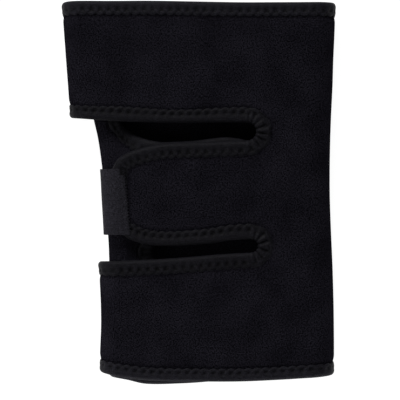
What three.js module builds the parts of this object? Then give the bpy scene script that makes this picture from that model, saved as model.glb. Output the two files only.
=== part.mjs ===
import * as THREE from "three";

// Knee support: one padded sheet, folded closed and lying on its back. Sizes in millimetres.
// The photo's right is +X, its top is +Y, and the front faces +Z.

// Cloth, edge tape and hook tape.
const SHEET = 4;
const HALF = SHEET / 2;
const TAPE_GAP = 0.3;
const TAPE_WALL = 0.8;
const TAPE_WIDTH = 10.5;
const TOP_TAPE_WIDTH = 9.5;
const BOTTOM_TAPE_WIDTH = 8.7;
const TAPE_OVER = TAPE_GAP + TAPE_WALL;
const TAPE_NOSE = 0.55;
const HOOK = 1.2;

// Heights of the layers above the floor, at the middle of the cloth.
const FRONT_HEIGHT = 34.6;
const FRONT_DOME = 1.2;
const FRONT_DOME_HALF = 90;
const LAYER_DROP = 7;
const BACK_LIFT = 7;
const HEM_RISE = TAPE_OVER;
const HEM_FLAT = 12;
const HEM_SLOPE = 23;
const STRAP_END_HEIGHT = 3.1;
const STRAP_END_RISE = 0.4;
const STRAP_RISE_FROM = 26;
const STRAP_RISE_TO = 14;

// How far each fold bulges past the flat cloth.
const RIGHT_REACH = 17;
const BODY_REACH = 11;
const STRAP_REACH = 13;

// The back rises over the strap ends between these two places.
const RAMP_LEFT = -10;
const RAMP_RIGHT = 22;

// The sheet is laid out along p, from the under tabs round the back to the strap ends.
// On the front p is -x, and on the under tabs p is UNDER_ZERO - x.
const P = { underEnd: -426, underRun: -331, bodyTop: -311, bodyBottom: -279, rightBottom: -133,
  rightTop: -81, frontRight: -60, frontLeft: 52, tabEnd: 63, topStrapEnd: 177, bottomStrapEnd: 148 };
const UNDER_ZERO = -381;
const UNDER_LEFT = UNDER_ZERO - P.underRun;
const STRAP_TURN = 46;
const TAB_BAND = 45;

// The outermost x of the cloth at its folds, by y: the right fold, the strap fold and the body fold.
const FOLDS = table(["y", "right", "strap", "body"], [
  [-150, 100.3, -72.9, -66.5],
  [-125, 101.5, -74.0, -66.4],
  [-100, 101.5, -73.2, -66.2],
  [-80, 101.2, -73.5, -66.4],
  [-53, 100.4, -75.0, -67.1],
  [-33, 99.5, -76.3, -67.9],
  [-5, 98.5, -81.0, -70.3],
  [18, 98.4, -91.0, -72.4],
  [40, 98.8, -94.9, -75.5],
  [57, 99.4, -96.3, -79.3],
  [80, 100.5, -98.0, -84.0],
  [100, 101.1, -99.5, -87.8],
  [120, 102.0, -101.0, -91.5],
  [150, 102.8, -103.0, -96.5],
]);

// The outer edge of the hem tape along p, at the top and at the bottom.
const HEMS = table(["p", "top", "bottom"], [
  [-426, 140.5, -135.0],
  [-311, 140.7, -136.4],
  [-295, 141.2, -138.2],
  [-279, 141.9, -141.4],
  [-264, 142.3, -144.4],
  [-236, 142.5, -144.1],
  [-199, 142.5, -142.2],
  [-167, 142.3, -140.2],
  [-133, 141.8, -138.0],
  [-107, 141.9, -136.7],
  [-81, 141.4, -138.0],
  [-60, 141.2, -139.3],
  [-31, 141.1, -140.5],
  [0, 141.6, -140.5],
  [36, 142.3, -139.8],
  [58, 142.2, -137.3],
  [70, 142.2, -135.4],
  [81, 142.3, -134.7],
  [107, 142.2, -134.7],
  [148, 141.6, -135.6],
  [177, 141.4, -136.0],
]);

// The outer edge of the slot tape on the straps along p.
const STRAPS = table(["p", "top", "bottom"], [
  [-39, 51.8, -44.7],
  [-17, 51.9, -45.9],
  [6, 51.6, -47.9],
  [30, 51.8, -49.6],
  [53, 52.4, -50.6],
  [70, 53.4, -51.3],
  [100, 55.4, -52.0],
  [148, 57.5, -53.2],
  [177, 59.0, -53.5],
]);

// The outer edge of the slot tape on the middle tab along p.
const TAB = table(["p", "top", "bottom"], [
  [-39, 38.6, -34.9],
  [-23, 38.0, -35.8],
  [-11, 37.6, -37.7],
  [6, 37.1, -39.1],
  [18, 36.7, -39.8],
  [30, 35.6, -39.8],
  [41, 33.3, -38.4],
  [48, 31.2, -36.3],
  [52, 29.6, -34.6],
  [56, 27.4, -32.4],
  [60, 23.6, -29.6],
  [63, 18.2, -26.0],
]);

// The outer edge of the tape on the under tabs along p.
const UNDER = table(["p", "top", "tabTop", "tabBottom", "bottom"], [
  [-426, 64, 27.0, -20.0, -51.0],
  [-423, 64, 33.4, -27.0, -51.0],
  [-417, 64, 38.4, -31.6, -51.0],
  [-403, 64, 41.1, -34.0, -51.0],
  [-393, 64, 40.4, -35.4, -51.0],
  [-378, 64, 38.5, -36.6, -51.0],
  [-361, 64, 37.6, -37.6, -51.0],
  [-352, 64, 37.6, -38.0, -51.0],
  [-341, 64, 39.9, -38.0, -51.0],
  [-332, 64, 43.6, -38.0, -51.0],
  [-327, 64, 46.4, -38.0, -51.0],
]);

// The round ends of the four slots: place and size of the opening, and the way it closes along p.
const ENDS = {
  frontTop: { p: -36.2, y: 45.2, along: 6.6, across: 6.6, way: -1 },
  frontBottom: { p: -39.2, y: -39.8, along: 4.9, across: 4.9, way: -1 },
  underTop: { p: -327, y: 55.2, along: 7, across: 8.8, way: 1 },
  underBottom: { p: -353.5, y: -44.5, along: 6.5, across: 6.5, way: 1 },
};

// Hook tabs: the middle one by its y range, its slanted right edge and its share of the body fold,
// the hidden ones by the y of their middle and their lengths.
// The middle one's flap bends down to the fold: how far its points lie right of and above it.
const HOOK_TOP = 17.3;
const HOOK_BOTTOM = -31.7;
const HOOK_RIGHT_TOP = -55;
const HOOK_RIGHT_BOTTOM = -50.6;
const HOOK_STAND_TOP = 1.15;
const HOOK_STAND_BOTTOM = 2.7;
const HOOK_FOLD_FROM = 0.52;
const HOOK_FOLD_TO = 0.1;
const HOOK_FLAP = [
  { right: 8, up: 18.3 },
  { right: 5, up: 16.6 },
  { right: 2.8, up: 14.6 },
  { right: 1.3, up: 12 },
  { right: 0.4, up: 8.6 },
  { right: 0.05, up: 4.5 },
];
const HOOK_BEND = 0.7;
const HIDDEN_TOP_Y = 98;
const HIDDEN_BOTTOM_Y = -94;
const HOOK_TALL = 50;
const HOOK_SEWN = 10;
const HOOK_FREE = 12;

// The end of the middle tab, slanted like its hook tab.
const TAB_END_TOP = -63;
const TAB_END_BOTTOM = -59.5;

// Middle of the finished part's box, taken off so that the part stands on its origin.
const CENTRE = { x: 0.11, y: -0.99 };

// Facets: the back has closer columns over its ramp, and a row lies a tape's width inside each slot.
const TURN_STEPS = 7;
const ARC_STEPS = 4;
const NUDGE = 0.05;
const RAMP_P_LEFT = -228;
const RAMP_P_RIGHT = -192;
const FRONT_COLUMNS = [-20, -4, 12, 25, 36, 44];
const SLOT_FLAT = 14;

// Rows of numbers as objects with named columns.
function table(names, rows) {
  return rows.map((row) => Object.fromEntries(names.map((name, i) => [name, row[i]])));
}

// A smooth curve through one column of a table, straight on beyond its ends.
function curve(rows, key, column, at) {
  const last = rows.length - 1;
  let i = 0;
  while (i < last - 1 && at > rows[i + 1][key]) {
    i += 1;
  }
  const slope = (k) => {
    const a = rows[Math.max(0, k - 1)];
    const b = rows[Math.min(last, k + 1)];
    return (b[column] - a[column]) / (b[key] - a[key]);
  };
  const span = rows[i + 1][key] - rows[i][key];
  const f = (at - rows[i][key]) / span;
  if (f < 0) {
    return rows[i][column] + (at - rows[i][key]) * slope(0);
  }
  if (f > 1) {
    return rows[last][column] + (at - rows[last][key]) * slope(last);
  }
  const g = 1 - f;
  const hold = rows[i][column] * g * g * (1 + 2 * f) + rows[i + 1][column] * f * f * (3 - 2 * f);
  return hold + span * f * g * (slope(i) * g - slope(i + 1) * f);
}

const lerp = THREE.MathUtils.lerp;
const smooth = (at, from, to) => THREE.MathUtils.smoothstep(at, from, to);
const frontHeight = (x) => FRONT_HEIGHT + FRONT_DOME * (1 - (x / FRONT_DOME_HALF) ** 2);
const underHeight = (x) => frontHeight(x) - LAYER_DROP;

// Height of the back: on the floor at the right, over the strap ends at the left, up a little at the hems.
function backHeight(x, p, y) {
  const fromHem = Math.min(hem("top", p) - y, y - hem("bottom", p));
  const rise = HEM_RISE * (1 - smooth(fromHem, HEM_FLAT, HEM_SLOPE));
  return HALF + BACK_LIFT * (1 - smooth(x, RAMP_LEFT, RAMP_RIGHT)) + rise;
}

// The sheet's own hem, inside the tape.
function hem(side, p) {
  const inset = side === "top" ? -TAPE_OVER : TAPE_OVER;
  return curve(HEMS, "p", side, p) + inset;
}

// A half-round fold from one height to another.
function turn(x, reach, from, to, f) {
  const angle = Math.PI * f;
  return [x + reach * Math.sin(angle), (from + to) / 2 + ((from - to) / 2) * Math.cos(angle)];
}

// Where the middle of the cloth lies: [x, z] for a place p along the sheet and y across it.
function section(p, y) {
  const at = (column) => curve(FOLDS, "y", column, y);
  if (p > P.frontLeft && Math.abs(y) < TAB_BAND) {
    const end = lerp(TAB_END_TOP, TAB_END_BOTTOM, (HOOK_TOP - y) / (HOOK_TOP - HOOK_BOTTOM));
    const x = lerp(-P.frontLeft, end, (p - P.frontLeft) / (P.tabEnd - P.frontLeft));
    return [x, frontHeight(x)];
  }
  if (p > P.frontLeft) {
    return strapSection(p, y, at("strap") + HALF + STRAP_REACH);
  }
  if (p >= P.frontRight) {
    return [-p, frontHeight(-p)];
  }
  const right = at("right") - HALF - RIGHT_REACH;
  const body = at("body") + HALF + BODY_REACH;
  const share = (from, to) => (p - from) / (to - from);
  if (p >= P.rightTop) {
    const x = lerp(-P.frontRight, right, share(P.frontRight, P.rightTop));
    return [x, frontHeight(x)];
  }
  if (p >= P.rightBottom) {
    const low = backHeight(right, p, y);
    return turn(right, RIGHT_REACH, frontHeight(right), low, share(P.rightTop, P.rightBottom));
  }
  if (p >= P.bodyBottom) {
    const x = lerp(right, body, share(P.rightBottom, P.bodyBottom));
    return [x, backHeight(x, p, y)];
  }
  if (p >= P.bodyTop) {
    const low = backHeight(body, p, y);
    return turn(body, -BODY_REACH, low, underHeight(body), share(P.bodyBottom, P.bodyTop));
  }
  const x = p >= P.underRun ? lerp(body, UNDER_LEFT, share(P.bodyTop, P.underRun)) : UNDER_ZERO - p;
  return [x, underHeight(x)];
}

// The top and bottom straps: on over the front, round the left fold and under the back.
function strapSection(p, y, fold) {
  const run = -P.frontLeft - fold;
  const past = p - P.frontLeft - run;
  if (past < 0) {
    const x = -p;
    return [x, frontHeight(x)];
  }
  if (past < STRAP_TURN) {
    return turn(fold, -STRAP_REACH, frontHeight(fold), STRAP_END_HEIGHT, past / STRAP_TURN);
  }
  const end = y > 0 ? P.topStrapEnd : P.bottomStrapEnd;
  const rise = STRAP_END_RISE * smooth(p, end - STRAP_RISE_FROM, end - STRAP_RISE_TO);
  return [fold + past - STRAP_TURN, STRAP_END_HEIGHT + rise];
}

function middle(p, y) {
  const [x, z] = section(p, y);
  return new THREE.Vector3(x, y, z);
}

// A point of the sheet, `out` above its middle on the outer side.
function place(p, y, out) {
  const along = middle(p + NUDGE, y).sub(middle(p - NUDGE, y));
  const across = middle(p, y + NUDGE).sub(middle(p, y - NUDGE));
  const normal = across.cross(along).normalize();
  return middle(p, y).addScaledVector(normal, out);
}

// The round end of a slot in the sheet, outside its tape.
function endOf(name) {
  const end = ENDS[name];
  const along = end.along + TAPE_OVER;
  return { ...end, along, across: end.across + TAPE_OVER, tip: end.p + end.way * along };
}

// One edge of a slot at p: its table away from the end, the end's arc near it, its middle past it.
function slotEdge(end, side, p, open) {
  const past = (p - end.p) * end.way;
  if (past <= 0) {
    return open + side * TAPE_OVER;
  }
  const f = Math.min(1, past / end.along);
  return end.y + side * end.across * Math.sqrt(1 - f * f);
}

// The four inner edges of the sheet at p. Where the sheet is uncut, each pair has one value.
function cuts(p) {
  const [frontTop, frontBottom, underTop, underBottom] =
    ["frontTop", "frontBottom", "underTop", "underBottom"].map(endOf);
  const pair = (under, front, underEdges, frontEdges) => {
    if (p <= under.tip) {
      return [1, -1].map((side, i) => slotEdge(under, side, p, underEdges[i]));
    }
    if (p >= front.tip) {
      return [1, -1].map((side, i) => slotEdge(front, side, p, frontEdges[i]));
    }
    const y = lerp(under.y, front.y, (p - under.tip) / (front.tip - under.tip));
    return [y, y];
  };
  const under = (column) => curve(UNDER, "p", column, p);
  const strap = (column) => curve(STRAPS, "p", column, p);
  const tab = (column) => curve(TAB, "p", column, p);
  const [topLow, tabTop] = pair(underTop, frontTop,
    [under("top"), under("tabTop")], [strap("top"), tab("top")]);
  const [tabBottom, bottomHigh] = pair(underBottom, frontBottom,
    [under("tabBottom"), under("bottom")], [tab("bottom"), strap("bottom")]);
  return { topLow, tabTop, tabBottom, bottomHigh };
}

// Even steps from one place to another, both ends in.
function steps(from, to, count) {
  return Array.from({ length: count + 1 }, (_, i) => lerp(from, to, i / count));
}

// The places along p that a slot's round end needs.
function arcPlaces(name) {
  const end = endOf(name);
  return steps(0, Math.PI / 2, ARC_STEPS - 1).map((a) => end.p + end.way * end.along * Math.cos(a));
}

// Sorted places with near doubles dropped.
function columns(...lists) {
  const all = lists.flat().sort((a, b) => a - b);
  return all.filter((p, i) => i === 0 || p - all[i - 1] > 1e-6);
}

const SHARED = columns(
  UNDER.map((row) => row.p),
  arcPlaces("underTop"),
  arcPlaces("underBottom"),
  steps(P.bodyTop, P.bodyBottom, TURN_STEPS + 2),
  steps(P.bodyBottom, RAMP_P_LEFT, 3),
  steps(RAMP_P_LEFT, RAMP_P_RIGHT, 4),
  steps(RAMP_P_RIGHT, P.rightBottom, 3),
  steps(P.rightBottom, P.rightTop, TURN_STEPS + 1),
  [P.frontRight],
  arcPlaces("frontTop"),
  arcPlaces("frontBottom"),
  FRONT_COLUMNS,
  [P.frontLeft],
);
const TAB_END = [56, 60, P.tabEnd];
const TOP_END = [...steps(62, 80, 2), ...steps(86, 131, TURN_STEPS), ...steps(143, P.topStrapEnd, 3)];
const BOTTOM_END = [...steps(59, 104, TURN_STEPS), ...steps(115, P.bottomStrapEnd, 3)];

// Rows of one strip at p, from its upper to its lower edge.
function topRows(p) {
  const top = hem("top", p);
  const low = cuts(p).topLow;
  return [top, top - HEM_FLAT, top - HEM_SLOPE, low + SLOT_FLAT, low];
}

function tabRows(p) {
  const { tabTop, tabBottom } = cuts(p);
  return steps(tabTop, tabBottom, 3);
}

function bottomRows(p) {
  const bottom = hem("bottom", p);
  const high = cuts(p).bottomHigh;
  return [high, high - SLOT_FLAT, bottom + HEM_SLOPE, bottom + HEM_FLAT, bottom];
}

// A closed body from a list of strips, each a grid of [upper, lower] point pairs by column and row.
function thickBody(strips) {
  const points = [];
  const faces = [];
  const index = new Map();
  const edges = new Map();
  const name = (v) => v.toArray().map((n) => n.toFixed(4)).join();
  const number = (pair) => {
    const key = name(pair[0]) + name(pair[1]);
    if (!index.has(key)) {
      index.set(key, points.length / 2);
      points.push(pair[0], pair[1]);
    }
    return index.get(key);
  };
  const face = (a, b, c) => {
    faces.push([2 * a, 2 * b, 2 * c], [2 * a + 1, 2 * c + 1, 2 * b + 1]);
    for (const [from, to] of [[a, b], [b, c], [c, a]]) {
      if (!edges.delete(to + "," + from)) {
        edges.set(from + "," + to, [from, to]);
      }
    }
  };
  for (const grid of strips) {
    const ids = grid.map((column) => column.map(number));
    for (let i = 0; i + 1 < ids.length; i += 1) {
      for (let j = 0; j + 1 < ids[i].length; j += 1) {
        face(ids[i][j], ids[i][j + 1], ids[i + 1][j + 1]);
        face(ids[i][j], ids[i + 1][j + 1], ids[i + 1][j]);
      }
    }
  }
  for (const [from, to] of edges.values()) {
    faces.push([2 * from, 2 * from + 1, 2 * to + 1], [2 * from, 2 * to + 1, 2 * to]);
  }
  return solid(points, faces);
}

// A mesh geometry from points and triangles, turned outward.
function solid(points, faces) {
  let volume = 0;
  for (const [a, b, c] of faces) {
    volume += points[a].dot(points[b].clone().cross(points[c]));
  }
  const geometry = new THREE.BufferGeometry().setFromPoints(points);
  geometry.setIndex((volume > 0 ? faces : faces.map(([a, b, c]) => [a, c, b])).flat());
  geometry.computeVertexNormals();
  return geometry;
}

// Tape folded over an edge of the sheet: `path` is the sheet's edge in p and y, cloth on its left.
// `bends` are places across each leg where it bends with the sheet.
function tapeBody(path, width, bends = []) {
  const near = HALF + TAPE_GAP;
  const far = near + TAPE_WALL;
  const leg = [width, ...bends, -TAPE_GAP];
  const profile = [
    ...leg.map((deep) => [deep, far]), [-TAPE_OVER, far * TAPE_NOSE], [-TAPE_OVER, -far * TAPE_NOSE],
    ...back(leg).map((deep) => [deep, -far]), ...leg.map((deep) => [deep, -near]),
    ...back(leg).map((deep) => [deep, near]),
  ];
  const count = profile.length;
  const points = [];
  const faces = [];
  path.forEach((at, i) => {
    const inward = at.way ?? inwardAt(path, i);
    for (const [deep, out] of profile) {
      points.push(place(at.p + inward.x * deep, at.y + inward.y * deep, out));
    }
    for (let j = 0; i > 0 && j < count; j += 1) {
      const k = (j + 1) % count;
      const [a, b] = [(i - 1) * count, i * count];
      faces.push([a + j, a + k, b + k], [a + j, b + k, b + j]);
    }
  });
  const outline = profile.map(([x, y]) => new THREE.Vector2(x, y));
  const start = (path.length - 1) * count;
  for (const [a, b, c] of THREE.ShapeUtils.triangulateShape(outline, [])) {
    faces.push([a, c, b], [start + a, start + b, start + c]);
  }
  return solid(points, faces);
}

// The way into the cloth at one place of an edge, longer at a corner so that the tape keeps its width.
function inwardAt(path, i) {
  const left = (a, b) => new THREE.Vector2(a.y - b.y, b.p - a.p).normalize();
  const before = left(path[Math.max(0, i - 1)], path[Math.max(1, i)]);
  const after = left(path[Math.min(path.length - 2, i)], path[Math.min(path.length - 1, i + 1)]);
  const way = before.clone().add(after).normalize();
  return way.divideScalar(Math.max(0.8, way.dot(after)));
}

const UP = { x: 0, y: 1 };
const DOWN = { x: 0, y: -1 };
const back = (list) => [...list].reverse();
const inside = (from, to) => SHARED.filter((p) => p >= from - 1e-6 && p <= to + 1e-6);

// An edge of the sheet along p. `way` is the way into the cloth where it doesn't follow the edge's bends.
function edge(list, y, way) {
  return list.map((p) => ({ p, y: y(p), way }));
}

// The hems run the whole length of the sheet.
function hemPath(side) {
  const list = side === "top" ? [...SHARED, ...TOP_END] : [...SHARED, ...BOTTOM_END];
  const path = edge(list, (p) => hem(side, p), side === "top" ? DOWN : UP);
  return side === "top" ? back(path) : path;
}

// The front slots and the middle tab, from the end of the top strap to the end of the bottom strap.
function frontSlotPath() {
  const top = inside(endOf("frontTop").tip, P.frontLeft);
  const bottom = inside(endOf("frontBottom").tip, P.frontLeft);
  const end = tabRows(P.tabEnd).map((y) => ({ p: P.tabEnd, y }));
  return back([
    ...edge(back(TOP_END), (p) => cuts(p).topLow, UP),
    ...edge(back(top), (p) => cuts(p).topLow),
    ...edge([...top.slice(1), ...TAB_END.slice(0, -1)], (p) => cuts(p).tabTop),
    ...end,
    ...edge(back([...bottom, ...TAB_END.slice(0, -1)]), (p) => cuts(p).tabBottom),
    ...edge(bottom.slice(1), (p) => cuts(p).bottomHigh),
    ...edge(BOTTOM_END, (p) => cuts(p).bottomHigh, DOWN),
  ]);
}

// The slots of the under tabs, the same way round as seen from outside.
function underSlotPath() {
  const top = inside(P.underEnd, endOf("underTop").tip);
  const bottom = inside(P.underEnd, endOf("underBottom").tip);
  const end = tabRows(P.underEnd).map((y) => ({ p: P.underEnd, y }));
  return [
    ...edge(top, (p) => cuts(p).topLow),
    ...edge(back(top).slice(1, -1), (p) => cuts(p).tabTop),
    ...end,
    ...edge(bottom.slice(1), (p) => cuts(p).tabBottom),
    ...edge(back(bottom).slice(1), (p) => cuts(p).bottomHigh),
  ];
}

// A strip of hook tape: stations of [x, z] for a y, at several y.
function hookBody(ys, stations) {
  const grid = ys.map((y) => {
    const line = stations(y);
    return line.map(([x, z], i) => {
      const [x0, z0] = line[Math.max(0, i - 1)];
      const [x1, z1] = line[Math.min(line.length - 1, i + 1)];
      const normal = new THREE.Vector3(z0 - z1, 0, x1 - x0).normalize();
      const at = new THREE.Vector3(x, y, z);
      return [1, -1].map((side) => at.clone().addScaledVector(normal, (side * HOOK) / 2));
    });
  });
  return thickBody([grid]);
}

// The middle hook tab: over the end of the middle tab, down to the body fold and along it.
function middleHookStations(y) {
  const f = (HOOK_TOP - y) / (HOOK_TOP - HOOK_BOTTOM);
  const right = lerp(HOOK_RIGHT_TOP, HOOK_RIGHT_BOTTOM, f);
  const end = lerp(TAB_END_TOP, TAB_END_BOTTOM, f) - TAPE_OVER;
  const over = HALF + TAPE_OVER + TAPE_GAP + HOOK / 2;
  const stand = HALF + lerp(HOOK_STAND_TOP, HOOK_STAND_BOTTOM, f);
  const line = [right, (right + end) / 2, end + HOOK_BEND].map((x) => [x, frontHeight(x) + over]);
  line.push([end - HOOK_BEND, frontHeight(end) + over - HOOK_BEND]);
  const fold = steps(HOOK_FOLD_FROM, HOOK_FOLD_TO, 5).map((share) => {
    const at = place(lerp(P.bodyBottom, P.bodyTop, share), y, stand);
    return [at.x, at.z];
  });
  line.push(...HOOK_FLAP.map(({ right, up }) => [fold[0][0] + right, fold[0][1] + up]), ...fold);
  return back(line);
}

// A hidden hook tab: flat under the end of its strap, then up against the back.
function hiddenHook(end, middleY) {
  const near = (y) => place(end, y, 0).x;
  const ys = steps(middleY + HOOK_TALL / 2, middleY - HOOK_TALL / 2, 2);
  return hookBody(ys, (y) => {
    const x = near(y);
    const rampP = (RAMP_P_LEFT + RAMP_P_RIGHT) / 2;
    const under = (at) => backHeight(at, rampP, 0) - HALF - 2 * TAPE_GAP - HOOK / 2;
    const line = [[x - HOOK_SEWN, HOOK / 2], [x + TAPE_GAP, HOOK / 2]];
    for (const share of [0.35, 0.7, 1]) {
      const at = x + HOOK_FREE * share;
      line.push([at, lerp(HOOK / 2, Math.max(HOOK / 2, under(at)), share)]);
    }
    return line;
  });
}

function finish(colour, roughness) {
  return new THREE.MeshStandardMaterial({ color: colour, roughness, metalness: 0 });
}

const part = new THREE.Group();
part.name = "knee_support";

function add(name, geometry, material) {
  const mesh = new THREE.Mesh(geometry.translate(-CENTRE.x, -CENTRE.y, 0), material);
  mesh.name = name;
  part.add(mesh);
}

// One strip of the sheet as a grid of its outer and inner points.
function strip(list, rows) {
  return list.map((p) => rows(p).map((y) => [HALF, -HALF].map((out) => place(p, y, out))));
}

const sheet = thickBody([
  strip([...SHARED, ...TOP_END], topRows),
  strip([...SHARED, ...TAB_END], tabRows),
  strip([...SHARED, ...BOTTOM_END], bottomRows),
]);

add("wrap_panel", sheet, finish(0x131217, 0.95));
add("top_binding", tapeBody(hemPath("top"), TOP_TAPE_WIDTH), finish(0x19181b, 0.8));
add("bottom_binding", tapeBody(hemPath("bottom"), BOTTOM_TAPE_WIDTH), finish(0x19181b, 0.8));
add("front_slot_binding", tapeBody(frontSlotPath(), TAPE_WIDTH), finish(0x161518, 0.8));
add("under_slot_binding", tapeBody(underSlotPath(), TAPE_WIDTH, [TAPE_WIDTH / 2]),
  finish(0x161518, 0.8));
add("middle_hook_tab", hookBody(steps(HOOK_TOP, HOOK_BOTTOM, 4), middleHookStations),
  finish(0x222126, 0.7));
add("top_hook_tab", hiddenHook(P.topStrapEnd, HIDDEN_TOP_Y), finish(0x222126, 0.7));
add("bottom_hook_tab", hiddenHook(P.bottomStrapEnd, HIDDEN_BOTTOM_Y), finish(0x222126, 0.7));

export default part;
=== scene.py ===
"""Knee support, folded closed and lying on its back: pile cloth, edge tape, stitches and hook tabs.

Sizes are in millimetres, apart from those of the studio and of the flat cloth, which are in metres.
"""

import logging
import math
from collections.abc import Callable
from dataclasses import dataclass, replace
from enum import Enum

import bpy
import numpy as np
from mathutils import Matrix, Vector


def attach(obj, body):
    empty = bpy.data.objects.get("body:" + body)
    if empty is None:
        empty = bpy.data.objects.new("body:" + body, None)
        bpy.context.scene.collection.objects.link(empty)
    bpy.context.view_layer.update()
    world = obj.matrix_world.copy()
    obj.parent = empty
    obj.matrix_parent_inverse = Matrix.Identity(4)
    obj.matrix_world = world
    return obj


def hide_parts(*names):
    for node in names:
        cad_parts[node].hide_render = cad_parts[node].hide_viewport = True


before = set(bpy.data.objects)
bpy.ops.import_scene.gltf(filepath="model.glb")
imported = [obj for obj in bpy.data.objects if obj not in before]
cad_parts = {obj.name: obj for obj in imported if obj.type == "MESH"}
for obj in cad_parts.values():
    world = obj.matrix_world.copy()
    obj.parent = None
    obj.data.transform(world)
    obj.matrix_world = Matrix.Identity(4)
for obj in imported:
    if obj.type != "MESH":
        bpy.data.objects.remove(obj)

log = logging.getLogger("knee_support")
Array = np.ndarray
Pair = tuple[float, float]
Triple = tuple[float, float, float]
Threads = tuple[Array, Array, Array]
MM = 0.001
FLAT = "flat_cloth"
# Point attribute of painted shade: colour darkened in stitch dimples and in a line beside each tape's
# edge, where shade falls.
PAINTED_SHADE_ATTRIBUTE = "painted_shade"
WELD_DIGITS = 4
SAME_SPOT = 1e-6


class Slot(Enum):
    """Material slots of the part's record."""

    CLOTH = "pile_cloth"
    TAPE = "edge_tape"
    HOOK = "hook_tape"


class Edge(Enum):
    """Edges of the sheet that are bound with tape, named after the solid each tape stands for."""

    TOP_HEM = "top_binding"
    BOTTOM_HEM = "bottom_binding"
    FRONT_SLOTS = "front_slot_binding"
    UNDER_SLOTS = "under_slot_binding"

    @property
    def is_hem(self) -> bool:
        """Whether it is a hem and not the edge of the slots."""
        return self in (Edge.TOP_HEM, Edge.BOTTOM_HEM)


def ease(at: Array, start: float, stop: float) -> Array:
    """Smooth step from 0 at start to 1 at stop."""
    f = np.clip((at - start) / (stop - start), 0, 1)
    return f * f * (3 - 2 * f)


def between(start: Array, stop: Array, share: Array) -> Array:
    """Straight blend of two values."""
    return start + (stop - start) * share


def bell(at: Array, width: float) -> Array:
    """A round bump of height 1 at 0."""
    return np.exp(-0.5 * (at / width) ** 2)


def lengths(path: Array) -> Array:
    """Distance along a line at each of its points."""
    return np.r_[0, np.cumsum(np.linalg.norm(np.diff(path, axis=0), axis=1))]


def sample(path: Array, gone: Array, at: Array) -> Array:
    """Points of a line at some distances, given the distance at each of its own points."""
    return np.column_stack([np.interp(at, gone, column) for column in path.T])


def left_of(path: Array) -> Array:
    """Unit vectors to the left of a flat line, one for each of its points."""
    way = np.gradient(path, axis=0)
    way /= np.linalg.norm(way, axis=1, keepdims=True)
    return np.column_stack((-way[:, 1], way[:, 0]))


def resample(path: Array, step: float, passes: int = 2, smoothings: int = 3, least: int = 4) -> Array:
    """Space the points of a line evenly and take the sharpness off its corners.

    Args:
        path: points, one a row.
        step: distance between the new points.
        passes: how often it is spaced anew.
        smoothings: how often each pass averages neighbours.
        least: fewest points.

    Returns:
        The evenly spaced points.
    """
    for _ in range(passes):
        gone = lengths(path)
        keep = np.r_[True, np.diff(gone) > SAME_SPOT]
        gone, path = gone[keep], path[keep]
        count = max(least, round(gone[-1] / step) + 1)
        path = sample(path, gone, np.linspace(0, gone[-1], count))
        for _ in range(smoothings):
            path[1:-1] = (path[:-2] + 2 * path[1:-1] + path[2:]) / 4
    return path


class Table:
    """Smooth curves through the columns of a table of numbers."""

    def __init__(self, names: str, rows: tuple) -> None:
        """Keep the columns by name.

        Args:
            names: column names, the key first.
            rows: the numbers, sorted by the key.
        """
        values = np.array(rows, float).T
        self.keys = values[0]
        self.columns = dict(zip(names.split()[1:], values[1:]))

    def at(self, column: str, where: Array) -> Array:
        """Read one column anywhere, straight on beyond the table's ends.

        Args:
            column: name of the column.
            where: places along the key.

        Returns:
            The column's value at each place.
        """
        keys, values = self.keys, self.columns[column]
        number = np.arange(len(keys))
        low, high = np.maximum(number - 1, 0), np.minimum(number + 1, len(keys) - 1)
        slopes = (values[high] - values[low]) / (keys[high] - keys[low])
        where = np.asarray(where, float)
        inner = np.clip(where, keys[0], keys[-1])
        i = np.clip(np.searchsorted(keys, inner) - 1, 0, len(keys) - 2)
        span = keys[i + 1] - keys[i]
        f = (inner - keys[i]) / span
        g = 1 - f
        held = values[i] * g * g * (1 + 2 * f) + values[i + 1] * f * f * (3 - 2 * f)
        bent = held + span * f * g * (slopes[i] * g - slopes[i + 1] * f)
        past = where - inner
        return bent + past * np.where(past < 0, slopes[0], slopes[-1])


FOLDS = Table("y right strap body", (
    (-150, 100.3, -72.9, -66.5), (-125, 101.5, -74.0, -66.4), (-100, 101.5, -73.2, -66.2),
    (-80, 101.2, -73.5, -66.4), (-53, 100.4, -75.0, -67.1), (-33, 99.5, -76.3, -67.9),
    (-5, 98.5, -81.0, -70.3), (18, 98.4, -91.0, -72.4), (40, 98.8, -94.9, -75.5),
    (57, 99.4, -96.3, -79.3), (80, 100.5, -98.0, -84.0), (100, 101.1, -99.5, -87.8),
    (120, 102.0, -101.0, -91.5), (150, 102.8, -103.0, -96.5),
))

HEMS = Table("p top bottom", (
    (-426, 140.5, -135.0), (-311, 140.7, -136.4), (-295, 141.2, -138.2), (-279, 141.9, -141.4),
    (-264, 142.3, -144.4), (-236, 142.5, -144.1), (-199, 142.5, -142.2), (-167, 142.3, -140.2),
    (-133, 141.8, -138.0), (-107, 141.9, -136.7), (-81, 141.4, -138.0), (-60, 141.2, -139.3),
    (-31, 141.1, -140.5), (0, 141.6, -140.5), (36, 142.3, -139.8), (58, 142.2, -137.3),
    (70, 142.2, -135.4), (81, 142.3, -134.7), (107, 142.2, -134.7), (148, 141.6, -135.6),
    (177, 141.4, -136.0),
))

STRAPS = Table("p top bottom", (
    (-39, 51.8, -44.7), (-17, 51.9, -45.9), (6, 51.6, -47.9), (30, 51.8, -49.6),
    (53, 52.4, -50.6), (70, 53.4, -51.3), (100, 55.4, -52.0), (148, 57.5, -53.2),
    (177, 59.0, -53.5),
))

TAB = Table("p top bottom", (
    (-39, 38.6, -34.9), (-23, 38.0, -35.8), (-11, 37.6, -37.7), (6, 37.1, -39.1),
    (18, 36.7, -39.8), (30, 35.6, -39.8), (41, 33.3, -38.4), (48, 31.2, -36.3),
    (52, 29.6, -34.6), (56, 27.4, -32.4), (60, 23.6, -29.6), (63, 18.2, -26.0),
))

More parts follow.
